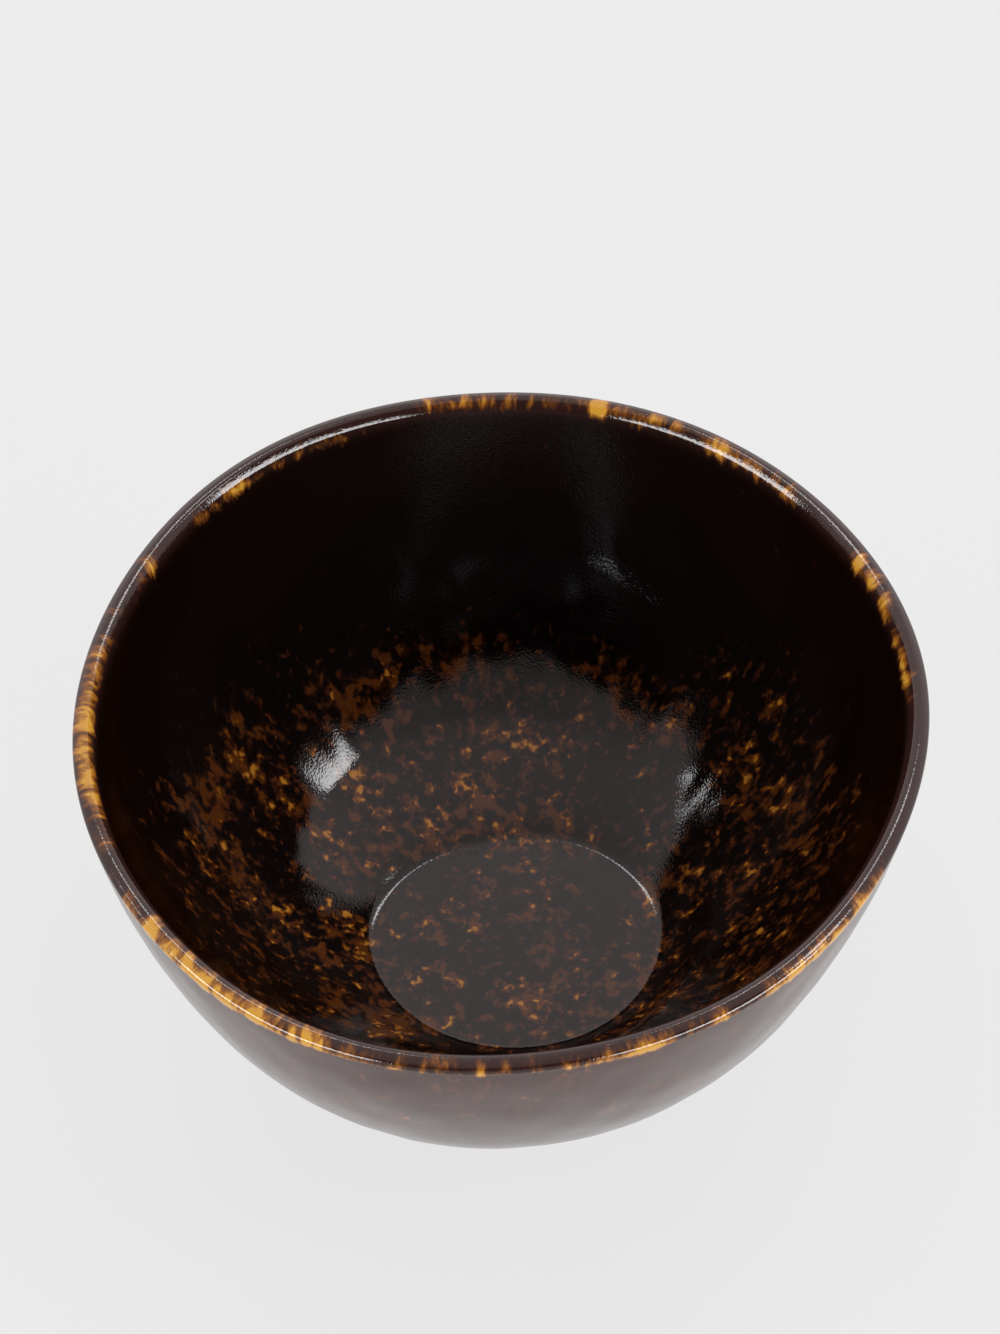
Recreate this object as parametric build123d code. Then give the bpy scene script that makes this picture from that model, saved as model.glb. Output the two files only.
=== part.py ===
from build123d import *
import math
import os

# A hand-formed tea bowl: a stoneware wall and floor, a foot ring luted under it, and the glass coats of
# glaze that cover both. +Z is up. The origin is the centre of the foot ring's contact face, on the table.
#
# Every surface is a section line carried round the bowl. A line is a list of nodes (radius, height,
# heading), the heading in degrees: 0 runs outwards, 90 straight up. The whole section runs anticlockwise,
# up the outside and down the inside, so the air is always on its right.

# Driving sizes, in millimetres.
rim_radius = 60.0  # glazed, before the lobes
rim_height = 64.0  # crest of the lip, before the wave
lip_thickness = 3.0  # glazed, from one shoulder of the lip to the other
lip_shoulder = 1.5  # how far the shoulders lie below the crest
floor_thickness = 4.9  # glazed inside floor above the underside
well_radius = 19.4  # flat inside floor, as far as the crease
crease_width = 1.8  # tight turn from the floor into the wall
crease_rise = 0.65
haunch_radius = 31.3  # where the lower wall passes into the upper one
haunch_rise = 7.35
foot_radius = 25.5  # clay foot ring, where it meets the wall
foot_height = 6.5
foot_width = 5.2
foot_taper = 0.5  # how much each flank leans in towards the contact face
foot_round = 0.8  # rounded edges of the contact face
glaze_thickness = 0.5
lip_glaze = 0.3  # thinner where it drains off the lip
pool_glaze = 0.8  # thicker where it gathers in the well
glaze_stop = 1.6  # height above the table where the glaze ends on the foot ring
junction_fillet = 1.3  # glaze gathered in the corners of the foot ring

# The two long curves of the wall: heading at each end, in degrees, and fullness as a share of the chord.
outside_lean = 81.5
inside_lean = 77.0
foot_flare = 12.0
crease_slope = 33.0
haunch_slope = 37.5
outside_fullness = (0.265, 0.445)
inside_fullness = (0.343, 0.294)
wall_spans = 5

# What the hand left: (count round the bowl, size in mm, azimuth of the peak in degrees).
lobes = [(1, 0.3, 101), (2, 0.8, 50), (3, 0.2, 20), (6, 0.2, 7)]
waves = [(2, 0.4, 120), (3, 0.25, 20)]
wave_depth = 36.0  # how far below the lip the rim's wave still shows
well_shift = [(1, 4.9, -63), (2, 1.2, 0)]  # the floor was trimmed off centre and a little oval

sectors = 18  # patches round the bowl
STEP = 1e-3  # for the numerical derivatives

os.makedirs("parts", exist_ok=True)


def ease(value, low, high):
    """0 below low, 1 above high, and a smooth S between them."""
    t = min(1.0, max(0.0, (value - low) / (high - low)))
    return t * t * (3 - 2 * t)


def swell(terms, azimuth):
    """Sum of cosines round the bowl, in mm."""
    return sum(size * math.cos(count * (azimuth - math.radians(peak))) for count, size, peak in terms)


def place(radius, height, azimuth):
    """Point of the hand-formed bowl for a point of the round one: lobes in plan, a wave along the rim, and
    the well's shift on the inside floor and the wall just above it."""
    low, high = foot_height, rim_height - lip_shoulder
    share = min(1.0, max(0.0, (height - low) / (high - low)))
    out = radius + share * (2 - share) * swell(lobes, azimuth)
    floor = foot_height + floor_thickness
    well = ease(height, floor - 1.6, floor - 1.0) * (1 - ease(height, floor + 0.5, floor + 8.6))
    well *= 1 - ease(radius, haunch_radius - 0.3, haunch_radius + 4.2)
    out += well * min(1.0, radius / well_radius) * swell(well_shift, azimuth)
    up = height + ease(height, rim_height - wave_depth, rim_height) * swell(waves, azimuth)
    return Vector(out * math.cos(azimuth), out * math.sin(azimuth), up)


def inward(node, depth):
    """The node moved into the clay, square to its heading."""
    radius, height, heading = node
    turn = math.radians(heading)
    return radius - depth * math.sin(turn), height + depth * math.cos(turn), heading


def long_curve(start, end, fullness, spans):
    """Nodes at equal parameters along one cubic curve."""
    chord = math.dist(start[:2], end[:2])
    first, last = math.radians(start[2]), math.radians(end[2])
    radii = [start[0], start[0] + fullness[0] * chord * math.cos(first)]
    radii += [end[0] - fullness[1] * chord * math.cos(last), end[0]]
    heights = [start[1], start[1] + fullness[0] * chord * math.sin(first)]
    heights += [end[1] - fullness[1] * chord * math.sin(last), end[1]]
    nodes = []
    for k in range(spans + 1):
        t = k / spans
        weights = [(1 - t) ** 3, 3 * (1 - t) ** 2 * t, 3 * (1 - t) * t * t, t**3]
        slopes = [(1 - t) ** 2, 2 * (1 - t) * t, t * t]
        out = sum(s * (radii[i + 1] - radii[i]) for i, s in enumerate(slopes))
        up = sum(s * (heights[i + 1] - heights[i]) for i, s in enumerate(slopes))
        radius = sum(w * value for w, value in zip(weights, radii))
        height = sum(w * value for w, value in zip(weights, heights))
        nodes.append((radius, height, math.degrees(math.atan2(up, out))))
    return nodes


def corner_data(node, azimuth, length):
    """Point, slope along the line, slope round the bowl and twist, at one corner of a patch."""
    radius, height, heading = node
    turn, turn_round = math.radians(heading), 2 * math.pi / sectors
    out, up = math.cos(turn) * STEP, math.sin(turn) * STEP

    def at(along, around):
        return place(radius + along * out, height + along * up, azimuth + around * STEP)

    slope = (at(1, 0) - at(-1, 0)) * (length / (2 * STEP))
    spin = (at(0, 1) - at(0, -1)) * (turn_round / (2 * STEP))
    twist = at(1, 1) - at(1, -1) - at(-1, 1) + at(-1, -1)
    return at(0, 0), slope, spin, twist * (length * turn_round / (4 * STEP * STEP))


def patch(a, b, sector, straight=False):
    """4 x 4 control points of the face between two nodes of a line and two azimuths."""
    chord = math.dist(a[:2], b[:2])
    length = chord / math.cos(math.radians((b[2] - a[2] + 180) % 360 - 180) / 4) ** 2
    if straight:
        heading = math.degrees(math.atan2(b[1] - a[1], b[0] - a[0]))
        a, b, length = (*a[:2], heading), (*b[:2], heading), chord
    grid = [[None] * 4 for _ in range(4)]
    for row, node, p in ((0, a, 1), (3, b, -1)):
        for column, k, q in ((0, sector, 1), (3, sector + 1, -1)):
            point, slope, spin, twist = corner_data(node, 2 * math.pi * (k % sectors) / sectors, length)
            grid[row][column] = point
            grid[row + p][column] = point + slope * (p / 3)
            grid[row][column + q] = point + spin * (q / 3)
            grid[row + p][column + q] = point + slope * (p / 3) + spin * (q / 3) + twist * (p * q / 9)
    return grid


def band(line, straight=False):
    """The faces of a section line carried all the way round."""
    spans = list(zip(line, line[1:]))
    return [Face.make_bezier_surface(patch(a, b, k, straight)) for a, b in spans for k in range(sectors)]


def loop(node):
    """Closed edge loop through one node, all the way round."""
    return Wire([Edge.make_bezier(*patch(node, inward(node, -1), k, True)[0]) for k in range(sectors)])


def disc(outer, inner=None):
    """Flat face inside one node's loop, with a second node's loop cut out of it."""
    return Face(loop(outer), [loop(inner)] if inner else [])


def export(faces, name):
    """Sews the faces into one closed solid and writes it."""
    piece = Solid(Shell(faces))
    print(name, round(piece.volume), "mm3, valid", piece.is_valid)
    export_step(piece, f"parts/{name}.step")


# Section of the glazed surface above the foot.
shoulder_height = rim_height - lip_shoulder
outer_shoulder = (rim_radius, shoulder_height, outside_lean)
inner_shoulder = (rim_radius - lip_thickness, shoulder_height, 180 + inside_lean)
lip_line = [
    outer_shoulder,
    (rim_radius - 0.24 * lip_thickness, rim_height - 0.18 * lip_shoulder, 152),
    (rim_radius - 0.51 * lip_thickness, rim_height, 180),
    (rim_radius - 0.79 * lip_thickness, rim_height - 0.19 * lip_shoulder, 211),
    inner_shoulder,
]
junction = (foot_radius + glaze_thickness + junction_fillet, foot_height - 0.5 * glaze_thickness, foot_flare)
outside_line = long_curve(junction, outer_shoulder, outside_fullness, wall_spans)
floor_height = foot_height + floor_thickness
haunch = (haunch_radius, floor_height + haunch_rise, haunch_slope)
inside_up = [(well_radius, floor_height, 0)]
inside_up += [(well_radius + crease_width, floor_height + crease_rise, crease_slope)]
inside_up += long_curve(haunch, (*inner_shoulder[:2], inside_lean), inside_fullness, wall_spans - 1)
inside_line = [(radius, height, heading + 180) for radius, height, heading in reversed(inside_up)]

# Section of the clay under that glaze.
clay_lip = [inward(node, lip_glaze) for node in lip_line]
foot_corner = (foot_radius, foot_height, foot_flare)
clay_outside = [foot_corner]
for step, node in enumerate(outside_line):
    share = ease(step, wall_spans - 2, wall_spans)
    clay_outside.append(inward(node, glaze_thickness + share * (lip_glaze - glaze_thickness)))
clay_inside = []
for step, node in enumerate(inside_line):
    depth = lip_glaze + ease(step, 0, 2) * (glaze_thickness - lip_glaze)
    depth += ease(step, wall_spans - 2, wall_spans + 1) * (pool_glaze - glaze_thickness)
    clay_inside.append(inward(node, depth))

# Section of the foot ring, and of the glaze that runs down its two flanks.
flank_heading = math.degrees(math.atan2(foot_height, foot_taper))


def outer_flank(height, glaze=0.0):
    lean = foot_taper * (1 - height / foot_height)
    return foot_radius - lean + glaze, height, flank_heading


def inner_flank(height, glaze=0.0):
    lean = foot_taper * (1 - height / foot_height)
    return foot_radius - foot_width + lean - glaze, height, 180 - flank_heading


outer_toe = [(outer_flank(foot_round)[0] - foot_round, 0.0, 0), outer_flank(foot_round)]
inner_toe = [(inner_flank(foot_round)[0] + foot_round, 0.0, 180), inner_flank(foot_round)]
roll_height = glaze_stop + glaze_thickness
fillet_height = foot_height - glaze_thickness - junction_fillet
outer_run = [
    (*outer_flank(glaze_stop)[:2], 0),
    outer_flank(roll_height, glaze_thickness),
    outer_flank(fillet_height, glaze_thickness),
    junction,
]
recess_radius = foot_radius - foot_width - glaze_thickness - junction_fillet
inner_run = [
    (*inner_flank(glaze_stop)[:2], 180),
    inner_flank(roll_height, glaze_thickness),
    inner_flank(fillet_height, glaze_thickness),
    (recess_radius, foot_height - glaze_thickness, 180),
]

# Faces that two pieces share.
wall_outside, wall_lip, wall_inside = band(clay_outside), band(clay_lip), band(clay_inside)
outer_joint = band([clay_lip[0], lip_line[0]], straight=True)
inner_joint = band([clay_lip[-1], lip_line[-1]], straight=True)
outer_glazed = band([outer_flank(glaze_stop), outer_flank(foot_height)])
inner_glazed = band([inner_flank(glaze_stop), inner_flank(foot_height)])
seat = [disc(outer_flank(foot_height), inner_flank(foot_height))]
ceiling = [disc(inner_flank(foot_height))]
floor = [disc(clay_inside[-1])]


def stoneware_body():
    export(wall_outside + wall_lip + wall_inside + floor + seat + ceiling, "stoneware_body")


def foot_ring():
    bare = band([outer_flank(foot_round), outer_flank(glaze_stop)])
    bare += band([inner_flank(foot_round), inner_flank(glaze_stop)])
    toes = band(outer_toe) + band(inner_toe) + [disc(outer_toe[0], inner_toe[0])]
    export(seat + outer_glazed + inner_glazed + bare + toes, "foot_ring")


def outside_glaze():
    export(outer_glazed + wall_outside + outer_joint + band(outer_run) + band(outside_line), "outside_glaze")


def lip_band_glaze():
    export(wall_lip + band(lip_line) + outer_joint + inner_joint, "lip_glaze")


def inside_glaze():
    export(wall_inside + inner_joint + band(inside_line) + floor + [disc(inside_line[-1])], "inside_glaze")


def recess_glaze():
    export(inner_glazed + band(inner_run) + ceiling + [disc(inner_run[-1])], "recess_glaze")


stoneware_body()
foot_ring()
outside_glaze()
lip_band_glaze()
inside_glaze()
recess_glaze()
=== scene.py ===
# %% [markdown]
# # A matcha bowl in speckled iron glaze
# A hand-formed stoneware tea bowl, about 12 cm across, on a pale table in soft light. The potter formed a
# thick-bottomed bowl, pressed it slightly out of round, luted a foot ring under it and coated it in a
# black iron glaze that breaks to amber wherever it runs thin. This lesson builds it from the section
# outwards: first the line that the wall follows, then the skins made from that line, then the glaze, and
# last the light, because a glossy black bowl is seen mostly by what it reflects.

# %% [markdown]
# ## The imported model
# The bowl's exact solids come from a CAD model, which is loaded first and fixes the place and the size of
# everything. The skins made here stand for its solids, which stay in the scene, hidden.

import math

import bpy
import numpy as np
from mathutils import Euler, Matrix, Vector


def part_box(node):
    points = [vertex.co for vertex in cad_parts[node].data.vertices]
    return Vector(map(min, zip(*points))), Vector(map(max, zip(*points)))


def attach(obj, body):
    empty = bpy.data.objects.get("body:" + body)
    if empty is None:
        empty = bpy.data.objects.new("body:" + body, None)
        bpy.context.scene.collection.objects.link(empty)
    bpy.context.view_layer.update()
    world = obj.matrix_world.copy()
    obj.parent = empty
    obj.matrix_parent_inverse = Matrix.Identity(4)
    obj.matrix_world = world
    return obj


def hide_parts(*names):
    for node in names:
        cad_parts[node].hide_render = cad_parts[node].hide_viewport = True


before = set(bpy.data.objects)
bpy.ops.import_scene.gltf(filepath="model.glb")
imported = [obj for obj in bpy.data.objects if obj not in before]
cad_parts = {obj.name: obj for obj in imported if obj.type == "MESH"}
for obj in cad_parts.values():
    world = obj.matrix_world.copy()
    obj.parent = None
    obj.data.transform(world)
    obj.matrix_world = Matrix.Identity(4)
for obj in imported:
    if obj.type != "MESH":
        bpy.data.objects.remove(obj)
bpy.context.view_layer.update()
MM = 0.001  # lengths below are in millimetres, and Blender's are in metres

# %% [markdown]
# ## Sizes of the section
# A round pot is one line turned about its axis. The foot's radius and height are read from the frame,
# because the clay ring is exactly round. The lip's sizes are to the glazed surface. Glaze is thinner where
# it drains off the lip and thicker where it gathers in the well.

# %% Foot, rim and floor
foot_low, foot_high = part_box("foot_ring")
FOOT_RADIUS = foot_high.x / MM
FOOT_HEIGHT = foot_high.z / MM
FOOT_WIDTH, FOOT_TAPER, FOOT_ROUND = 5.2, 0.5, 0.8
RIM_RADIUS, RIM_HEIGHT = 60.0, 64.0
LIP_THICKNESS, LIP_SHOULDER = 3.0, 1.5
SHOULDER_HEIGHT = RIM_HEIGHT - LIP_SHOULDER
FLOOR_HEIGHT = 11.4
WELL_RADIUS, CREASE_RADIUS, HAUNCH_RADIUS = 13.0, 19.4, 31.3
CREASE_WIDTH, CREASE_RISE, HAUNCH_RISE = 1.8, 0.65, 7.35
WELL_RISE = 0.05  # the floor swells this much towards its middle
print("foot ring:", round(FOOT_RADIUS, 2), "mm radius,", round(FOOT_HEIGHT, 2), "mm high")

# %% Thickness of the glaze
GLAZE, LIP_GLAZE, POOL_GLAZE = 0.5, 0.3, 0.8
GLAZE_STOP = 1.6  # height above the table where the potter wiped the glaze off the foot
FILLET = 1.3  # glaze gathered in the corners of the foot ring
print("glaze:", LIP_GLAZE, "mm on the lip,", GLAZE, "on the wall,", POOL_GLAZE, "in the well")

# %% [markdown]
# ## Curves between nodes
# Each node of the section is (radius, height, heading). The heading is the direction in which the line
# runs, in degrees: 0 is outwards and 90 straight up. The line goes up the outside and down the inside, so
# the air is always on its right. A Bezier curve object could hold the same line by hand. Worked out with
# numpy it stays exact, and the clay under the glaze can be computed from it later.


# %% Bends and joins
def bend(start, end, count, fullness=None):
    """Cubic curve from node to node. Each inner control point lies along its node's heading, by the given
    share of the chord, or by the share that makes an arc: a third over cos^2 of a quarter of the turn.
    A point at t, from 0 to 1, is the control points weighted by their Bernstein polynomials of t."""
    chord = math.dist(start[:2], end[:2])
    turned = math.radians((end[2] - start[2] + 180) % 360 - 180)
    arc = 1 / (3 * math.cos(turned / 4) ** 2)
    first, last = fullness or (arc, arc)
    a, b = math.radians(start[2]), math.radians(end[2])
    leave = (start[0] + first * chord * math.cos(a), start[1] + first * chord * math.sin(a))
    arrive = (end[0] - last * chord * math.cos(b), end[1] - last * chord * math.sin(b))
    t = np.linspace(0, 1, count)[:, None]
    weights = ((1 - t) ** 3, 3 * (1 - t) ** 2 * t, 3 * (1 - t) * t**2, t**3)
    controls = (start[:2], leave, arrive, end[:2])
    return sum(weight * np.array(point, float) for weight, point in zip(weights, controls))


def join(*lines):
    """Lines end to end, without the point that each shares with the one before."""
    return np.vstack([lines[0], *[line[1:] for line in lines[1:]]])


def path(nodes, count):
    """Arc-like bends through a list of nodes."""
    return join(*[bend(a, b, count) for a, b in zip(nodes, nodes[1:])])


print("a quarter circle in five points:", bend((1, 0, 90), (0, 1, 180), 5).round(3).tolist())

# %% [markdown]
# ## The outside and the lip
# The outside is one long fuller curve from the foot to the rim. The lip is three millimetres of soft
# round, but its inner half was sponged flatter, almost a bevel. That facet looks small, yet it decides
# where the lip catches light: a round lip shows one thin line, and the facet shows a broad soft band.
# Its nodes sit so that the direction from one to the next is the mean of their two headings, which
# keeps the bend between them even.

# %% Outside and lip lines
SMALL_COUNT, OUTSIDE_COUNT = 9, 132  # points on each small bend, and on the outside
OUTSIDE_LEAN, INSIDE_LEAN, FOOT_FLARE = 81.5, 257.0, 12.0  # headings at the shoulders and at the foot
OUTSIDE_FULLNESS = (0.265, 0.445)
outer_shoulder = (RIM_RADIUS, SHOULDER_HEIGHT, OUTSIDE_LEAN)
inner_shoulder = (RIM_RADIUS - LIP_THICKNESS, SHOULDER_HEIGHT, INSIDE_LEAN)
junction = (FOOT_RADIUS + GLAZE + FILLET, FOOT_HEIGHT - GLAZE / 2, FOOT_FLARE)
LIP_ROUND = [  # share of the lip's thickness, share of its shoulder's height, heading
    (0.24, 0.18, 152.0),
    (0.51, 0.0, 180.0),
    (0.683, 0.083, 203.0),
    (0.763, 0.207, 233.5),
    (0.917, 0.654, 238.5),
]
lip_nodes = [(RIM_RADIUS - s * LIP_THICKNESS, RIM_HEIGHT - d * LIP_SHOULDER, h) for s, d, h in LIP_ROUND]
lip_line = path([outer_shoulder, *lip_nodes, inner_shoulder], SMALL_COUNT)
outside_line = bend(junction, outer_shoulder, OUTSIDE_COUNT, OUTSIDE_FULLNESS)
print("outside:", len(outside_line), "points, lip:", len(lip_line), "points")

# %% [markdown]
# ## The inside
# Going down, the inside has a long wall, a haunch where the wall turns in, a shallow slope, a crease two
# millimetres wide, and a flat floor. The crease is where the potter's rib stopped. It is hardly visible
# as shape, but it splits the reflection in the well into two.

# %% Inside line
WALL_COUNT, SLOPE_COUNT, CREASE_COUNT, FLOOR_COUNT, WELL_COUNT = 112, 26, 16, 12, 10
INSIDE_FULLNESS = (0.294, 0.343)
haunch = (HAUNCH_RADIUS, FLOOR_HEIGHT + HAUNCH_RISE, 217.5)
crease_top = (CREASE_RADIUS + CREASE_WIDTH, FLOOR_HEIGHT + CREASE_RISE, 213.0)
crease_foot = (CREASE_RADIUS, FLOOR_HEIGHT, 179.0)
well_edge = (WELL_RADIUS, FLOOR_HEIGHT + WELL_RISE, 180.0)
inside_line = join(
    bend(inner_shoulder, haunch, WALL_COUNT, INSIDE_FULLNESS),
    bend(haunch, crease_top, SLOPE_COUNT),
    bend(crease_top, crease_foot, CREASE_COUNT),
    bend(crease_foot, well_edge, FLOOR_COUNT),
)
well_line = np.stack([np.linspace(WELL_RADIUS, 0, WELL_COUNT), np.full(WELL_COUNT, well_edge[1])], axis=1)
print("inside:", len(inside_line), "points, well:", len(well_line), "points")

# %% [markdown]
# ## What the hand left
# A hand-formed bowl is never a perfect circle. Slow lobes push the wall in and out in plan, the lip rises
# and falls by a fraction of a millimetre, and the inside floor was trimmed off centre. A lattice or a
# sculpting brush could do this. Here it is a sum of cosines, so it closes on itself round the bowl and
# every skin can follow it exactly.

# %% Lobes, waves and the well's shift
LOBES = [(1, 0.3, 101), (2, 0.8, 50), (3, 0.2, 20), (6, 0.2, 7)]  # count round the bowl, mm, azimuth of peak
WAVES = [(2, 0.4, 120), (3, 0.25, 20)]
WAVE_DEPTH = 36.0  # how far below the lip the rim's wave still shows
WELL_SHIFT = [(1, 4.9, -63), (2, 1.2, 0)]
SHIFT_BELOW = (FLOOR_HEIGHT - 1.6, FLOOR_HEIGHT - 1.0)  # heights between which the shift sets in
SHIFT_ABOVE = (FLOOR_HEIGHT + 0.5, FLOOR_HEIGHT + 8.6)  # and between which it fades up the wall
SHIFT_BEYOND = (HAUNCH_RADIUS - 0.3, HAUNCH_RADIUS + 4.2)  # radii between which it fades outwards
COLUMNS = 480  # points round the bowl
azimuths = np.linspace(0, 2 * math.pi, COLUMNS, endpoint=False)[None, :]


def ease(value, low, high):
    """0 below low, 1 above high, and 3t^2 - 2t^3 between them."""
    t = np.clip((value - low) / (high - low), 0, 1)
    return t * t * (3 - 2 * t)


def swell(terms, azimuth):
    """Sum over the terms of size times cos(count times the angle from the peak)."""
    return sum(size * np.cos(count * (azimuth - math.radians(peak))) for count, size, peak in terms)


print("lobes reach", round(float(swell(LOBES, azimuths).max()), 2), "mm beyond the circle")


# %% Turning a line into a surface
def turn(line, dents=None):
    """The bowl's surface over a section line: a grid of points, rows along the line, columns round the
    bowl. Radius gains the lobes in full at the lip and fades them out, as s * (2 - s), at the foot;
    height gains the waves near the lip; the floor and the wall under the haunch gain the well's shift,
    in proportion to radius within the crease; dents is added to the radius."""
    radius, height = line[:, 0][:, None], line[:, 1][:, None]
    share = np.clip((height - FOOT_HEIGHT) / (SHOULDER_HEIGHT - FOOT_HEIGHT), 0, 1)
    out = radius + share * (2 - share) * swell(LOBES, azimuths)
    low = ease(height, *SHIFT_BELOW) * (1 - ease(height, *SHIFT_ABOVE)) * (1 - ease(radius, *SHIFT_BEYOND))
    out = out + low * np.clip(radius / CREASE_RADIUS, 0, 1) * swell(WELL_SHIFT, azimuths)
    if dents is not None:
        out = out + dents(height)
    up = height + ease(height, RIM_HEIGHT - WAVE_DEPTH, RIM_HEIGHT) * swell(WAVES, azimuths)
    return np.stack([out * np.cos(azimuths), out * np.sin(azimuths), np.broadcast_to(up, out.shape)], axis=2)


print("lip is", round(float(np.ptp(turn(lip_line)[:, :, 2].max(axis=0))), 2), "mm from level")

# %% [markdown]
# ## Finger ripples
# Fingers leave ripples of a tenth of a millimetre or less. They are far too shallow to see as shape,
# but a glossy black glaze is a mirror, and they are what makes the edge of a reflection wander. A bump in
# the material would do for the looks alone. In the mesh the ripples are there from every side. They fade
# out at the foot, the floor and the lip, where the skins have to meet.

# %% Ripples
WALL_RADIUS = 50.0  # where the wavelengths round the bowl are true


def ripples(height, seed, terms, wavelength):
    """Smooth noise with a root mean square of 1: a sum of plane waves cos(n * azimuth + k * height +
    phase), where n is a whole number and both n and k are drawn about the given wavelength. The sum is
    divided by the root of half the number of waves."""
    draw = np.random.default_rng(seed)
    reach = 2 * math.pi / wavelength
    counts = np.round(draw.normal(0, reach * WALL_RADIUS, terms))
    rates = draw.normal(0, reach, terms)
    phases = draw.uniform(0, 2 * math.pi, terms)
    total = np.zeros(np.broadcast(height, azimuths).shape)
    for count, rate, phase in zip(counts, rates, phases):
        total += np.cos(count * azimuths + rate * height + phase)
    return total / math.sqrt(terms / 2)


slow = ripples(outside_line[:, 1][:, None], seed=3, terms=40, wavelength=22.0)
print("ripples have a root mean square of", round(float(np.sqrt((slow**2).mean())), 2))

# %% Dents of the two walls
OUTSIDE_DEPTH, BROAD_DEPTH, FINE_DEPTH = 0.05, 0.09, 0.035  # mm, root mean square
OUTSIDE_IN, OUTSIDE_OUT = (FOOT_HEIGHT, 16), (56, SHOULDER_HEIGHT)  # heights of fading in and out
INSIDE_IN, INSIDE_OUT = (12.2, 20), (34, 52)


def outside_dents(height):
    """Ripples about 22 mm long, fading out at the foot and the lip."""
    fade = ease(height, *OUTSIDE_IN) * (1 - ease(height, *OUTSIDE_OUT))
    return OUTSIDE_DEPTH * fade * ripples(height, seed=3, terms=40, wavelength=22.0)


def inside_dents(height):
    """Ripples about 22 mm long with finer ones of 11 mm over them, on the lower wall only: they fade out
    towards the floor and over the middle of the wall."""
    fade = ease(height, *INSIDE_IN) * (1 - ease(height, *INSIDE_OUT))
    fine = FINE_DEPTH * ripples(height, seed=7, terms=40, wavelength=11.0)
    broad = BROAD_DEPTH * ripples(height, seed=11, terms=24, wavelength=22.0)
    return fade * (fine + broad)


deepest = np.abs(inside_dents(inside_line[:, 1][:, None])).max()
print("deepest dent inside:", round(float(deepest), 3), "mm")

# %% [markdown]
# ## From grid to mesh
# Each coat of glaze is a closed shell: its face in the air, its face on the clay, and a narrow strip where
# it ends. The Screw modifier could turn a profile, but not with lobes. A grid of points becomes a mesh
# with one index calculation instead, with no loop over vertices. A section that closes on itself gives a
# ring. One that ends on the axis gives a cap, and each end is a single vertex with a fan of triangles
# round it, so that the mesh has no hole there. Numbers that a material needs, such as where the glaze is
# thin, travel with the mesh as named attributes.

# %% A skin over a grid of points
SHARP = math.radians(50)  # edges that turn more than this stay crisp


def skin(name, points, closed, **attributes):
    """Mesh over a grid of points, with faces that look to the right of the section line. Columns always
    close round the bowl. Rows close too if closed is set; otherwise the first and the last row lie on the
    axis, and each becomes one vertex with a fan round it. Each attribute has a number for every point."""
    rows, columns = points.shape[:2]
    kept = rows if closed else rows - 2
    ring = np.arange(kept * columns).reshape(kept, columns)

    def places(grid):
        if closed:
            return grid.reshape(kept * columns, -1)
        return np.vstack([grid[1:-1].reshape(kept * columns, -1), grid[0, :1], grid[-1, :1]])

    low, high = (ring, np.roll(ring, -1, axis=0)) if closed else (ring[:-1], ring[1:])
    faces = np.stack([low, np.roll(low, -1, 1), np.roll(high, -1, 1), high], axis=2).reshape(-1, 4).tolist()
    if not closed:
        poles = np.full((2, columns), [[ring.size], [ring.size + 1]])
        faces += np.stack([poles[0], np.roll(ring[0], -1), ring[0]], axis=1).tolist()
        faces += np.stack([poles[1], ring[-1], np.roll(ring[-1], -1)], axis=1).tolist()
    mesh = bpy.data.meshes.new(name)
    mesh.from_pydata((places(points) * MM).tolist(), [], faces)
    for label, values in attributes.items():
        grid = np.broadcast_to(values, (rows, columns))[:, :, None]
        data = mesh.attributes.new(label, "FLOAT", "POINT").data
        data.foreach_set("value", places(grid).ravel().astype(np.float32))
    mesh.polygons.foreach_set("use_smooth", np.ones(len(mesh.polygons), bool))
    mesh.set_sharp_from_angle(angle=SHARP)
    piece = bpy.data.objects.new(name, mesh)
    bpy.context.scene.collection.objects.link(piece)
    print(name, len(mesh.vertices), "vertices,", len(mesh.polygons), "faces")
    return piece


def stand_for(piece, node):
    """The piece rides on the bowl's one body and hides the CAD node it stands for."""
    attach(piece, "root")
    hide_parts(node)
    print(piece.name, "stands for", node)


print("skins have", COLUMNS, "columns, one every", 360 / COLUMNS, "degrees")

# %% [markdown]
# ## The clay under the glaze
# The clay's line is the glazed line moved inwards by the thickness of the coat. Every coat and the clay
# wall are made from the same clay lines, so they meet with no gap and no overlap. The clay faces are
# hidden, so every fourth or fifth point of the glazed line is enough for them.


# %% Clay lines
def inward(line, depth):
    """The line moved into the clay: each point goes depth to the left of the line's direction there."""
    along = np.gradient(line, axis=0)
    along /= np.linalg.norm(along, axis=1)[:, None]
    left = np.stack([-along[:, 1], along[:, 0]], axis=1)
    return line + left * np.broadcast_to(depth, len(line))[:, None]


FULL_COAT = 40.0  # height below which the coat has its full thickness
POOL_FADE = (12.0, 26.0)  # heights between which the glaze stops gathering
OUTSIDE_STRIDE, INSIDE_STRIDE = 4, 5


def coat_depth(line):
    """Glaze's thickness down a wall: the lip's at the shoulder, easing to the full coat below."""
    return LIP_GLAZE + (GLAZE - LIP_GLAZE) * (1 - ease(line[:, 1], FULL_COAT, SHOULDER_HEIGHT))


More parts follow.
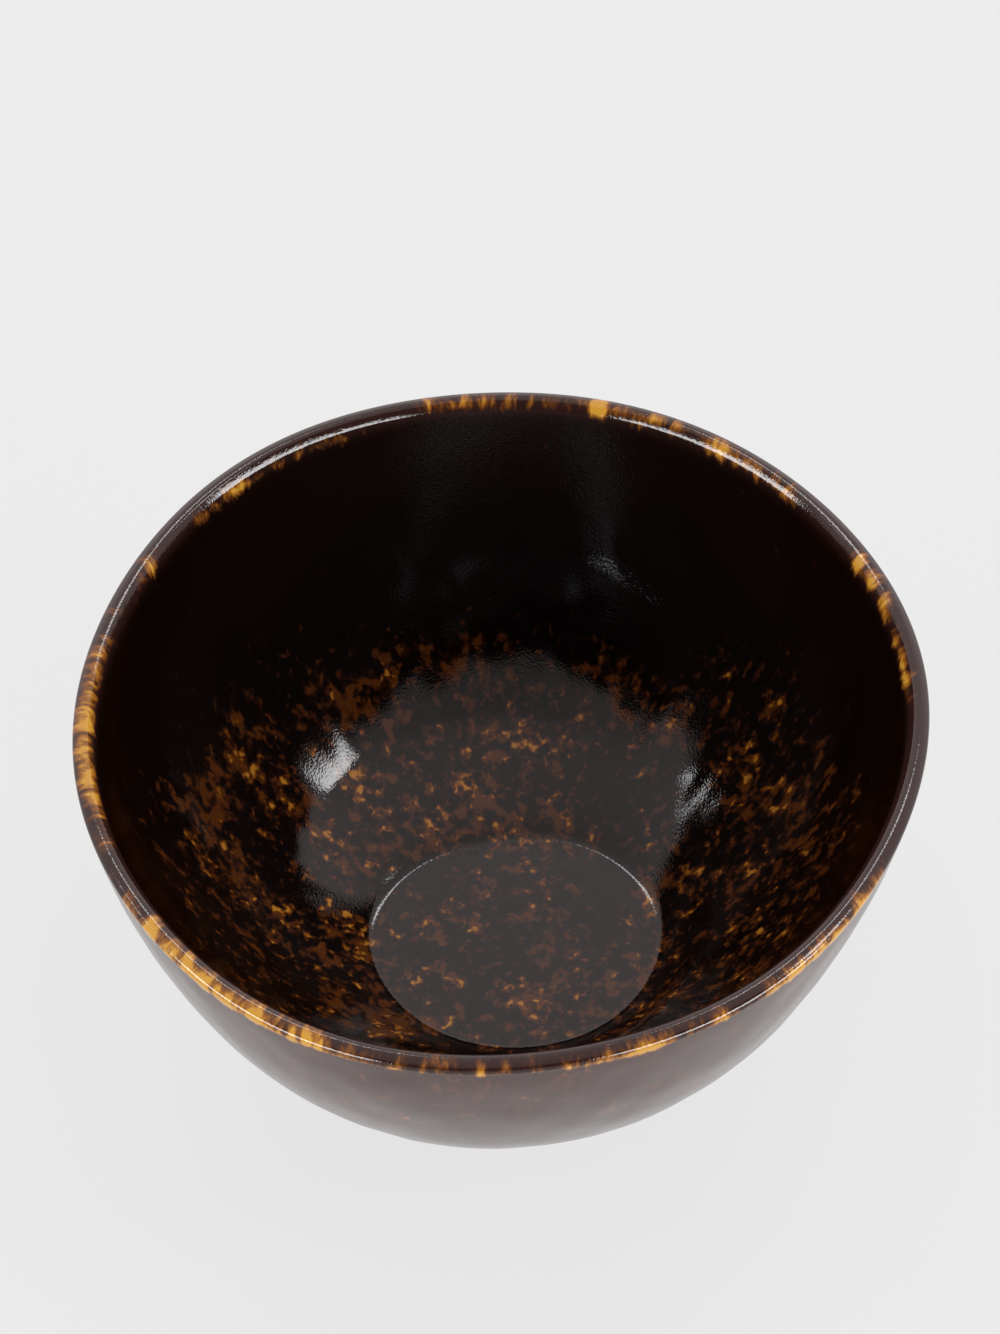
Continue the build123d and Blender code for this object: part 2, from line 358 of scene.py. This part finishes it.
pooling = (POOL_GLAZE - GLAZE) * (1 - ease(inside_line[:, 1], *POOL_FADE))
clay_outside = inward(outside_line, coat_depth(outside_line))[::OUTSIDE_STRIDE]
clay_lip = inward(lip_line, LIP_GLAZE)
clay_inside = inward(inside_line, coat_depth(inside_line) + pooling)[::INSIDE_STRIDE]
clay_floor = FLOOR_HEIGHT - POOL_GLAZE
clay_well = np.array([(WELL_RADIUS / 2, clay_floor), (0.0, clay_floor)])
print("clay floor", round(clay_floor - FOOT_HEIGHT, 2), "mm thick under the well")

# %% [markdown]
# ## The foot ring's section
# The ring's two flanks lean together downwards, and glaze runs down over both until it was wiped off
# above the table. Glaze pulls itself into a soft roll where it stops and a fillet where it meets the
# floor, so each of its runs has four nodes: the stop, the roll, the fillet and the corner beyond.

# %% Flanks and runs of glaze
flank_heading = math.degrees(math.atan2(FOOT_HEIGHT, FOOT_TAPER))


def flank(height, side, glaze=0.0):
    """Point on the foot ring's outer (side 1) or inner (side -1) flank, which lean together downwards."""
    lean = FOOT_TAPER * (1 - height / FOOT_HEIGHT)
    middle, half = FOOT_RADIUS - FOOT_WIDTH / 2, FOOT_WIDTH / 2 - lean + glaze
    return middle + side * half, height


def run_down(side, last):
    """Section of the glaze that runs down over one flank of the foot ring, and stops in a soft roll."""
    heading = flank_heading if side > 0 else 180 - flank_heading
    roll, fillet = GLAZE_STOP + GLAZE, FOOT_HEIGHT - GLAZE - FILLET
    nodes = [(*flank(GLAZE_STOP, side), 0.0 if side > 0 else 180.0)]
    nodes += [(*flank(roll, side, GLAZE), heading), (*flank(fillet, side, GLAZE), heading), last]
    return path(nodes, SMALL_COUNT)


recess_height = FOOT_HEIGHT - GLAZE
recess_edge = (FOOT_RADIUS - FOOT_WIDTH - GLAZE - FILLET, recess_height, 180.0)
print("recess under the bowl:", round(recess_edge[0], 2), "mm in radius where it is flat")

# %% [markdown]
# ## Where the glaze breaks
# Iron glaze is black where it is thick and amber where it is thin. It is thin where it drains off an edge,
# so the lip shows amber, in patches, as the bowl was dipped and turned. A painted mask would need an
# image. Here each patch is a soft bump on the mesh's own numbers. `across` measures place over the lip: 1
# at its outer shoulder, -1 at its inner one, and further out by 1 for every 1.5 mm down the wall.

# %% Amber patches
AMBER_PATCHES = [  # azimuth, half width in degrees, place across the lip, strength
    (-42, 14, 0.8, 1.0),
    (-65, 7, 0.7, 0.9),
    (-77, 6, 0.8, 0.85),
    (-92, 9, 0.4, 0.6),
    (-127, 24, 0.5, 1.2),
    (-176, 21, -0.2, 1.1),
    (154, 4, -0.8, 0.9),
    (137, 7, -1.3, 0.8),
    (120, 10, -1.3, 0.8),
    (90, 14, -0.3, 0.7),
    (69, 10, -0.3, 0.9),
    (50, 10, -0.6, 0.9),
    (24, 6, -0.6, 1.1),
    (10, 9, -1.1, 1.0),
]
PATCH_REACH = 1.1  # how far across the lip a patch spreads
PATCH_FULL, PATCH_GONE = 0.5, 1.4  # in half widths: where a patch is still full, and where it is gone
EDGE_LINE = (0.45, 1.15, 0.35)  # strength, place and spread of the thin line along the outer edge
FAR = 20.0  # across, for faces hidden against the clay


def bell(value, middle, spread):
    """exp(-x^2), where x is the distance from the middle in spreads."""
    return np.exp(-(((value - middle) / spread) ** 2))


def amber_at(across):
    """A faint line all the way round on the outer shoulder, and the sum of the patches: each is its
    strength times a smooth bump in azimuth times a bell across the lip."""
    strength, middle, spread = EDGE_LINE
    total = strength * bell(across, middle, spread) + np.zeros_like(azimuths)
    for peak, half, place, strength in AMBER_PATCHES:
        away = np.abs((azimuths - math.radians(peak) + math.pi) % (2 * math.pi) - math.pi)
        bump = 1 - ease(away, PATCH_FULL * math.radians(half), PATCH_GONE * math.radians(half))
        total = total + strength * bump * bell(across, place, PATCH_REACH)
    return total


print("amber on the lip's outer edge:", amber_at(np.array([[1.0]])).round(2)[0, ::60].tolist())


# %% Thin glaze and speckle
THIN_PLACE, THIN_REACH = 0.3, 1.2  # across
SPECKLE_TOP, BACK_DROP = 46, 13  # mm: where speckle is half gone at the sides, and how much lower behind
FADE_BELOW, FADE_ABOVE = 14, 15


def thin_at(across):
    """About 1 over the lip and none a few millimetres down either wall: there the plain coat is brown."""
    return bell(np.abs(across), THIN_PLACE, THIN_REACH)


def speckle_at(height):
    """Dense on the floor and the lower wall, thinning out to plain black up the wall. It stops lower at
    the back, by the sine of the azimuth."""
    limit = SPECKLE_TOP - BACK_DROP * np.clip(np.sin(azimuths), 0, 1)
    return 1 - ease(height, limit - FADE_BELOW, limit + FADE_ABOVE)


def reach_along(line):
    """Distance in mm along a line from its first point."""
    return np.concatenate([[0], np.cumsum(np.linalg.norm(np.diff(line, axis=0), axis=1))])


print("inside wall is", round(float(reach_along(inside_line)[-1]), 1), "mm from lip to well along its line")

# %% [markdown]
# ## The inside coat
# The coat that the tea touches. Its shell starts on the axis, runs out and up along the clay, turns over
# at the lip's inner shoulder and comes back down in the air to the axis. Only the face in the air has
# ripples, so the face on the clay still fits the clay.

# %% Inside coat
rise = np.vstack([clay_well[::-1], clay_inside[::-1]])
fall = join(inside_line, well_line)
across = np.concatenate([np.full(len(rise), FAR), -1 - reach_along(fall) / LIP_SHOULDER])[:, None]
heights = np.concatenate([rise[:, 1], fall[:, 1]])[:, None]
inside = skin(
    "inside_coat",
    np.vstack([turn(rise), turn(fall, inside_dents)]),
    closed=False,
    amber=amber_at(across),
    thin=thin_at(across),
    speckle=speckle_at(heights),
)
stand_for(inside, "inside_glaze")

# %% [markdown]
# ## The lip band
# The narrow coat over the lip, from shoulder to shoulder, where the glaze drained thinnest. It is a piece
# of its own because this is where the finish changes: no speckle, and all of the amber.

# %% Lip band
reach = reach_along(lip_line)
lip_across = 1 - 2 * reach / reach[-1]
across = np.concatenate([lip_across, np.full(len(clay_lip), FAR)])[:, None]
lip = skin(
    "lip_band",
    np.vstack([turn(lip_line), turn(clay_lip[::-1])]),
    closed=True,
    amber=amber_at(across),
    thin=thin_at(across),
    speckle=0.0,
)
stand_for(lip, "lip_glaze")

# %% [markdown]
# ## The outside coat
# It starts in its roll above the table, climbs the ring's outer flank, turns the fillet and runs up the
# wall to the lip, then comes back down along the clay to the corner between wall and ring.

# %% Outside coat
OUTSIDE_SPECKLE = 0.6
climb = join(run_down(1, junction), outside_line)
corner = np.array([(FOOT_RADIUS, FOOT_HEIGHT)])
descend = np.vstack([clay_outside[::-1], corner])
reach = reach_along(climb)
wall_across = 1 + (reach[-1] - reach) / LIP_SHOULDER
across = np.concatenate([wall_across, np.full(len(descend), FAR)])[:, None]
outside = skin(
    "outside_coat",
    np.vstack([turn(climb, outside_dents), turn(descend)]),
    closed=True,
    amber=amber_at(across),
    thin=thin_at(across),
    speckle=OUTSIDE_SPECKLE,
)
stand_for(outside, "outside_glaze")

# %% [markdown]
# ## The recess coat
# The glaze inside the foot ring, under the floor. Nobody sees it until the bowl is turned over, but a
# bowl's foot is looked at closely by whoever holds it, so it is finished like the outside.

# %% Recess coat
RECESS_SPECKLE, RECESS_COUNT = 0.5, 24
over = np.vstack([run_down(-1, recess_edge)[::-1], [flank(FOOT_HEIGHT, -1)], [(0.0, FOOT_HEIGHT)]])
radii = np.linspace(0, recess_edge[0], RECESS_COUNT)[:-1]
ceiling = np.stack([radii, np.full_like(radii, recess_height)], axis=1)
recess = skin(
    "recess_coat",
    turn(np.vstack([ceiling, over])),
    closed=False,
    speckle=RECESS_SPECKLE,
    amber=0.0,
    thin=0.0,
)
stand_for(recess, "recess_glaze")

# %% [markdown]
# ## The clay
# Two pieces of bare clay: the foot ring, whose flat contact face is the only clay that shows, and the
# wall, which the glaze hides. The ring's two toes are rounded so that it does not scratch a table.

# %% Foot ring
RING_LEVELS = (GLAZE_STOP, 3.0, FOOT_HEIGHT)
CONTACT_COUNT = 7  # points across the contact face, with the ends of the two toes
outer_toe = (*flank(FOOT_ROUND, 1), flank_heading)
inner_toe = (*flank(FOOT_ROUND, -1), 360 - flank_heading)
contact_out = (outer_toe[0] - FOOT_ROUND, 0.0, 0.0)
contact_in = (inner_toe[0] + FOOT_ROUND, 0.0, 360.0)
contact = np.linspace(contact_in[:2], contact_out[:2], CONTACT_COUNT)[1:-1]
ring_line = np.vstack(
    [
        bend(contact_out, outer_toe, SMALL_COUNT),
        [flank(height, 1) for height in RING_LEVELS],
        [flank(height, -1) for height in reversed(RING_LEVELS)],
        bend(inner_toe, contact_in, SMALL_COUNT),
        contact,
    ]
)
ring = skin("luted_foot_ring", turn(ring_line), closed=True)
stand_for(ring, "foot_ring")

# %% Clay wall
under_floor = [(0.0, FOOT_HEIGHT)]
body_line = np.vstack([under_floor, corner, clay_outside, clay_lip[1:-1], clay_inside, clay_well])
body = skin("clay_wall", turn(body_line), closed=False)
stand_for(body, "stoneware_body")

# %% [markdown]
# ## Helpers for materials
# Colours are written as sRGB hex values, as a paint chart gives them, and shaders want linear light, so
# one function converts them. A second one adds a node with its settings and its links in one line: a
# socket is given a number, or the output that feeds it.


# %% Colours and nodes
def linear(hex_colour):
    """sRGB hex to linear RGBA: c / 12.92 below 0.04045, else ((c + 0.055) / 1.055) ^ 2.4."""
    values = [int(hex_colour[k : k + 2], 16) / 255 for k in (1, 3, 5)]
    return (*[c / 12.92 if c <= 0.04045 else ((c + 0.055) / 1.055) ** 2.4 for c in values], 1.0)


def add(tree, kind, sockets, stops=(), **settings):
    """Adds a node and returns it. Sockets maps an input to a number or to the output that feeds it.
    Settings are the node's own properties. Stops are a colour ramp's positions and hex colours."""
    made = tree.nodes.new(kind)
    for key, value in settings.items():
        setattr(made, key, value)
    for socket, value in sockets.items():
        if isinstance(value, bpy.types.NodeSocket):
            tree.links.new(value, made.inputs[socket])
        else:
            made.inputs[socket].default_value = value
    for k, (position, colour) in enumerate(stops):
        ramp = made.color_ramp.elements
        element = ramp[k] if k < len(ramp) else ramp.new(position)
        element.position, element.color = position, linear(colour)
    return made


def new_material(name):
    """A material's node tree, its shader, and Object coordinates in millimetres, so that the scale of
    each noise below says how many of its grains go into a millimetre."""
    material = bpy.data.materials.new(name)
    material.use_nodes = True
    tree = material.node_tree
    place = add(tree, "ShaderNodeTexCoord", {}).outputs["Object"]
    even = add(tree, "ShaderNodeMapping", {"Vector": place, "Scale": (1 / MM, 1 / MM, 1 / MM)}).outputs[0]
    return material, tree, tree.nodes["Principled BSDF"], even


print("mid grey #808080 is", round(linear("#808080")[0], 3), "in linear light")

# %% [markdown]
# ## Iron glaze
# A glossy stoneware glaze, black with iron, that was fired until it flowed like honey. Crystals of iron
# separate in it as it cools, which leaves amber specks 1 to 4 mm across with soft brown clouds round
# them, drawn out down the wall. Flat noise with one threshold would look like paint spatter. Real
# speckle has two sizes at once and comes in drifts, so here two fine noises are each lifted or lowered
# by a broad one, and the sum of what passes the threshold picks the colour from black to amber.

# %% Speckle
CLOUD, FLECK = 0.48, 0.75  # grains per mm: brown clouds, golden flecks
CLUSTER, DRIFT = 0.085, 0.15  # per mm, the groups that clouds and flecks come in
DRAWN = 0.45  # heights count for less, so the specks are drawn out down the wall
DENSITY_WEIGHT = 0.3  # how much the mesh's own speckle number helps a grain over the threshold
SPECKLE_LAYERS = (  # fine noise, broad noise and its weight, start and end over the threshold, most
    ("cloud", "cluster", 0.6, -0.06, 0.14, 0.55),
    ("fleck", "drift", 0.7, 0.11, 0.29, 0.5),
)


def speckle(tree, even, threshold, stops):
    """Colour output. Each layer is its fine noise, plus its broad noise and the speckle number by their
    weights. What rises over the threshold adds up to the layer's most along the ramp of stops."""
    drawn = add(tree, "ShaderNodeMapping", {"Vector": even, "Scale": (1, 1, DRAWN)}).outputs[0]
    noise = {}
    for label, vector, per_mm, detail, rough, warp in (
        ("cloud", drawn, CLOUD, 2.5, 0.6, 0.15),
        ("fleck", drawn, FLECK, 1.0, 0.5, 0.2),
        ("cluster", even, CLUSTER, 2.0, 0.5, 0.0),
        ("drift", even, DRIFT, 1.0, 0.5, 0.0),
    ):
        sockets = {"Vector": vector, "Scale": per_mm, "Detail": detail, "Roughness": rough}
        noise[label] = add(tree, "ShaderNodeTexNoise", {**sockets, "Distortion": warp}).outputs["Fac"]
    density = add(tree, "ShaderNodeAttribute", {}, attribute_name="speckle").outputs["Fac"]
    shares = []
    for fine, broad, weight, start, end, most in SPECKLE_LAYERS:
        sockets = {0: noise[broad], 1: weight, 2: noise[fine]}
        lifted = add(tree, "ShaderNodeMath", sockets, operation="MULTIPLY_ADD").outputs[0]
        sockets = {0: density, 1: DENSITY_WEIGHT, 2: lifted}
        level = add(tree, "ShaderNodeMath", sockets, operation="MULTIPLY_ADD").outputs[0]
        limits = {"Value": level, "From Min": threshold + start, "From Max": threshold + end, "To Max": most}
        shares.append(add(tree, "ShaderNodeMapRange", limits, interpolation_type="SMOOTHSTEP").outputs[0])
    amount = add(tree, "ShaderNodeMath", {0: shares[0], 1: shares[1]}, operation="ADD").outputs[0]
    return add(tree, "ShaderNodeValToRGB", {"Fac": amount}, stops=stops).outputs["Color"]


print("speckle grains and their groups, in mm:", [round(1 / k, 1) for k in (CLOUD, FLECK, CLUSTER, DRIFT)])

# %% [markdown]
# ## Amber streaks
# Over the lip the glaze breaks: it thins to honey where it drained, in short streaks that run across the
# lip and not round it. A noise on plain coordinates would give round spots. If each point is first drawn
# in to one circle at the lip's radius, and only a part of its true place is added back, the noise
# stretches across the lip. The patches on the mesh then decide where streaks show.

# %% Streaks
STREAK = 0.26  # streaks per mm
STREAK_CIRCLE = 58.0  # mm, the circle that points are drawn in to
ACROSS = (0.6, 0.6, 0.7)  # how much of the true place is added back
STREAK_WEIGHT, PATCH_WEIGHT, STREAK_LEVEL = 2.4, 0.9, -1.32
HONEY = [(0.3, "#2c160e"), (0.6, "#573010"), (0.85, "#80511a"), (1.0, "#a67a2a")]  # brown edge to amber
BROKEN_FROM, BROKEN_TO = 0.3, 0.9
LIP_BROWN = "#241412"  # thin coat that has not broken
MIX_A, MIX_B, MIX_OUT = 6, 7, 2  # the Mix node's colour sockets


def streaks(tree, even, plain):
    """Colour output: the plain colour, brown along the lip, and honey where streaks and patches add up."""
    sockets = {0: even, 1: (1.0, 1.0, 0.0)}
    flat = add(tree, "ShaderNodeVectorMath", sockets, operation="MULTIPLY").outputs[0]
    unit = add(tree, "ShaderNodeVectorMath", {0: flat}, operation="NORMALIZE").outputs[0]
    sockets = {0: unit, "Scale": STREAK_CIRCLE}
    circle = add(tree, "ShaderNodeVectorMath", sockets, operation="SCALE").outputs[0]
    part = add(tree, "ShaderNodeVectorMath", {0: even, 1: ACROSS}, operation="MULTIPLY").outputs[0]
    drawn = add(tree, "ShaderNodeVectorMath", {0: circle, 1: part}, operation="ADD").outputs[0]
    sockets = {"Vector": drawn, "Scale": STREAK, "Detail": 4.0, "Roughness": 0.62, "Distortion": 0.3}
    streak = add(tree, "ShaderNodeTexNoise", sockets).outputs["Fac"]
    patch = add(tree, "ShaderNodeAttribute", {}, attribute_name="amber").outputs["Fac"]
    sockets = {0: patch, 1: PATCH_WEIGHT, 2: STREAK_LEVEL}
    allowed = add(tree, "ShaderNodeMath", sockets, operation="MULTIPLY_ADD").outputs[0]
    sockets = {0: streak, 1: STREAK_WEIGHT, 2: allowed}
    broken = add(tree, "ShaderNodeMath", sockets, operation="MULTIPLY_ADD").outputs[0]
    limits = {"Value": broken, "From Min": BROKEN_FROM, "From Max": BROKEN_TO}
    share = add(tree, "ShaderNodeMapRange", limits, interpolation_type="SMOOTHSTEP").outputs[0]
    honey = add(tree, "ShaderNodeValToRGB", {"Fac": broken}, stops=HONEY).outputs["Color"]
    thin = add(tree, "ShaderNodeAttribute", {}, attribute_name="thin").outputs["Fac"]
    sockets = {"Factor": thin, MIX_A: plain, MIX_B: linear(LIP_BROWN)}
    coat = add(tree, "ShaderNodeMix", sockets, data_type="RGBA").outputs[MIX_OUT]
    sockets = {"Factor": share, MIX_A: coat, MIX_B: honey}
    return add(tree, "ShaderNodeMix", sockets, data_type="RGBA").outputs[MIX_OUT]


print("streaks", round(1 / STREAK, 1), "mm apart")

# %% [markdown]
# ## The glaze's surface
# Fired glaze is glass: an index of 1.45 and very low roughness give sharp reflections. It is not quite
# flat, though. It sets with a faint orange peel, which breaks the edge of a highlight into fine grain.
# Outside, the coat is thinner and browner, and finely crystalled, so its shine is softer. A coat layer on
# top would give the same shine twice, so the shader's own gloss is used.

# %% Iron glazes
PEEL, PEEL_DEPTH = 2.6, 0.022  # dimples per mm, and their depth in mm
GLASS_IOR, GLOSS, SOFT_GLOSS = 1.45, 0.07, 0.18
DENSE, SPARSE = 1.07, 1.12  # thresholds of the speckle: a higher one lets less through
BLACK_TO_AMBER = [(0.0, "#070201"), (0.25, "#1d0b04"), (0.5, "#3c1c08"), (0.75, "#683a0b"), (1.0, "#9c691f")]
BROWN_TO_RUST = [(0.0, "#2c120b"), (0.5, "#3c1c10"), (1.0, "#6e3c18")]


def iron_glaze(name, threshold, stops, roughness):
    """Speckle under streaks, glossy, with a bump of orange peel."""
    material, tree, shader, even = new_material(name)
    colour = streaks(tree, even, speckle(tree, even, threshold, stops))
    tree.links.new(colour, shader.inputs["Base Color"])
    sockets = {"Vector": even, "Scale": PEEL, "Detail": 2.0, "Roughness": 0.5}
    peel = add(tree, "ShaderNodeTexNoise", sockets).outputs["Fac"]
    sockets = {"Height": peel, "Strength": 1.0, "Distance": PEEL_DEPTH * MM}
    tree.links.new(add(tree, "ShaderNodeBump", sockets).outputs[0], shader.inputs["Normal"])
    shader.inputs["Roughness"].default_value = roughness
    shader.inputs["IOR"].default_value = GLASS_IOR
    print(name, "has", len(tree.nodes), "nodes")
    return material


inside.data.materials.append(iron_glaze("Speckled iron glaze", SPARSE, BLACK_TO_AMBER, GLOSS))
lip.data.materials.append(iron_glaze("Breaking lip glaze", SPARSE, BLACK_TO_AMBER, GLOSS))
brown_glaze = iron_glaze("Brown iron glaze", DENSE, BROWN_TO_RUST, SOFT_GLOSS)
for piece in (outside, recess):
    piece.data.materials.append(brown_glaze)

# %% [markdown]
# ## Fired stoneware
# Bare clay shows on the foot's contact face: a warm brown, quite matt, with a sandy grain just under a
# millimetre across that stands a few hundredths of a millimetre proud. One noise drives both the colour
# and the bump, because on real clay the pale grains are the ones that stick out.

# %% Stoneware
GRAIN, GRAIN_DEPTH, MATT = 1.4, 0.05, 0.85  # grains per mm, their depth in mm, and the roughness
SAND = [(0.3, "#5d4634"), (0.5, "#8a6c50"), (0.7, "#a5876a")]
clay, tree, shader, even = new_material("Fired stoneware")
sockets = {"Vector": even, "Scale": GRAIN, "Detail": 4.0}
grain = add(tree, "ShaderNodeTexNoise", sockets).outputs["Fac"]
tree.links.new(
    add(tree, "ShaderNodeValToRGB", {"Fac": grain}, stops=SAND).outputs["Color"], shader.inputs["Base Color"]
)
sockets = {"Height": grain, "Strength": 1.0, "Distance": GRAIN_DEPTH * MM}
tree.links.new(add(tree, "ShaderNodeBump", sockets).outputs[0], shader.inputs["Normal"])
shader.inputs["Roughness"].default_value = MATT
for piece in (ring, body):
    piece.data.materials.append(clay)
print("clay grain:", round(1 / GRAIN, 2), "mm")

# %% [markdown]
# ## The table
# A sheet of white paper, evenly bright right up to the bowl. Product tables like this are lit from below
# as well as from above, which is why the bowl throws almost no shadow on it. Here the paper gives off
# most of its light itself, and only a little of its brightness comes from the lamps.

# %% Floor
HALF_FLOOR = 4.0  # metres
PAPER, PAPER_LIGHT = 0.08, 0.72
corners = [(-1, -1), (1, -1), (1, 1), (-1, 1)]
floor_mesh = bpy.data.meshes.new("floor")
floor_mesh.from_pydata([(x * HALF_FLOOR, y * HALF_FLOOR, 0) for x, y in corners], [], [(0, 1, 2, 3)])
floor = bpy.data.objects.new("floor", floor_mesh)
bpy.context.scene.collection.objects.link(floor)
paper, tree, shader, even = new_material("White paper")
shader.inputs["Base Color"].default_value = (PAPER, PAPER, PAPER, 1)
shader.inputs["Emission Color"].default_value = (1, 1, 1, 1)
shader.inputs["Emission Strength"].default_value = PAPER_LIGHT
shader.inputs["Roughness"].default_value = 1.0
shader.inputs["Specular IOR Level"].default_value = 0.0
floor_mesh.materials.append(paper)
print("floor:", 2 * HALF_FLOOR, "m square")

# %% [markdown]
# ## The light tent
# The inside of the bowl is a mirror that looks up at the room. Where it shows the white tent it is grey,
# and where it shows the dark room behind the camera it is black: that border is the outline of the pale
# shape in the well. So the world is a tent with a dark near side, about 34 degrees up from the horizon,
# and a little brighter towards the back. A picture of a studio could be used instead, but a few nodes on
# the direction of view give full control over where the border falls.

# %% World
TENT_COLOUR = (1.0, 0.9, 0.9, 1.0)
TENT_SLOPE, TENT_MIDDLE = 0.6, 1.0  # strength towards the back, and overhead
NEAR_FROM, NEAR_TO = -0.05, -0.35  # how far towards the viewer the dark side sets in and is full
OPEN_LEVEL, DARK_LEVEL = -0.2, 0.56  # sine of the height that the dark side reaches, away and near
TENT_EDGE, ROOM = 0.03, 0.02  # softness of the border, and what the dark room still gives
world = bpy.data.worlds.new("studio")
bpy.context.scene.world = world
world.use_nodes = True
sky = world.node_tree
direction = add(sky, "ShaderNodeTexCoord", {}).outputs["Generated"]
parts = add(sky, "ShaderNodeSeparateXYZ", {"Vector": direction}).outputs
limits = {"From Min": NEAR_FROM, "From Max": NEAR_TO, "To Min": OPEN_LEVEL, "To Max": DARK_LEVEL}
border = add(sky, "ShaderNodeMapRange", {"Value": parts["Y"], **limits}).outputs[0]
above = add(sky, "ShaderNodeMath", {0: parts["Z"], 1: border}, operation="SUBTRACT").outputs[0]
limits = {"From Min": 0.0, "From Max": TENT_EDGE, "To Min": ROOM}
tent = add(sky, "ShaderNodeMapRange", {"Value": above, **limits}).outputs[0]
sockets = {0: parts["Y"], 1: TENT_SLOPE, 2: TENT_MIDDLE}
deep = add(sky, "ShaderNodeMath", sockets, operation="MULTIPLY_ADD").outputs[0]
lit = add(sky, "ShaderNodeMath", {0: tent, 1: deep}, operation="MULTIPLY").outputs[0]
sky.links.new(lit, sky.nodes["Background"].inputs["Strength"])
sky.nodes["Background"].inputs["Color"].default_value = TENT_COLOUR
print("tent's dark side reaches", round(math.degrees(math.asin(DARK_LEVEL)), 1), "degrees up")

# %% [markdown]
# ## Softboxes
# Six area lights, each there for one thing that the glaze shows. The two small boxes give the bright
# marks left and right in the well, where they light the bend of the haunch. The two strips high at the
# back give the broad bands along the rim, left and right of its far side. The two low, wide boxes in
# front make the outside of the wall glow warm grey.

# %% Lights
LIGHT_DISTANCE = 1.2  # metres from the foot's middle
SOFTBOXES = [  # name, azimuth, elevation, width, height, radiance, roll about the light's own axis
    ("softbox_right", -8, 36, 0.26, 0.26, 13, 0),
    ("low_right", -40, 10, 1.15, 0.3, 15, 0),
    ("low_left", -140, 10, 1.15, 0.3, 15, 0),
    ("softbox_left", 178, 30, 0.12, 0.08, 13, 0),
    ("strip_right", 50, 58, 0.55, 0.1, 14, 54),
    ("strip_left", 125, 62, 0.48, 0.1, 14, -35),
]
for name, azimuth, elevation, width, height, radiance, roll in SOFTBOXES:
    a, e = math.radians(azimuth), math.radians(elevation)
    data = bpy.data.lights.new(name, "AREA")
    data.shape, data.size, data.size_y = "RECTANGLE", width, height
    data.energy = radiance * math.pi * width * height  # watts: radiance times pi times area
    lamp = bpy.data.objects.new(name, data)
    heading = (math.cos(e) * math.cos(a), math.cos(e) * math.sin(a), math.sin(e))
    lamp.location = [LIGHT_DISTANCE * part for part in heading]
    aim = Euler((math.pi / 2 - e, 0, a + math.pi / 2)).to_matrix()
    lamp.rotation_euler = (aim @ Matrix.Rotation(math.radians(roll), 3, "Z")).to_euler()
    bpy.context.scene.collection.objects.link(lamp)
    print(name, round(data.energy, 1), "W")

# %% [markdown]
# ## The camera
# A portrait lens looks down into the bowl from about 52 degrees above the table. A longer lens from
# further away would flatten the bowl; this one keeps the near wall larger than the far one. The view
# transform is Standard, so that the paper stays white and the amber keeps its colour.

# %% Camera
LENS, SENSOR = 100.0, 36.0  # mm
RIM_CENTRE_HEIGHT = 63.0
SIGHT, DISTANCE, TILT = math.radians(52.447), 519.6, math.radians(51.787)  # towards the rim's centre
SIDESTEP = -0.2
camera_data = bpy.data.cameras.new("camera")
camera_data.lens, camera_data.sensor_width = LENS, SENSOR
camera_data.clip_start, camera_data.clip_end = 0.01, 20
camera = bpy.data.objects.new("camera", camera_data)
stand_height = RIM_CENTRE_HEIGHT + DISTANCE * math.sin(SIGHT)
camera.location = (SIDESTEP * MM, -DISTANCE * math.cos(SIGHT) * MM, stand_height * MM)
camera.rotation_euler = (math.pi / 2 - TILT, 0, 0)
bpy.context.scene.collection.objects.link(camera)
bpy.context.scene.camera = camera
bpy.context.scene.view_settings.view_transform = "Standard"
print("camera stands", round(stand_height), "mm above the table")
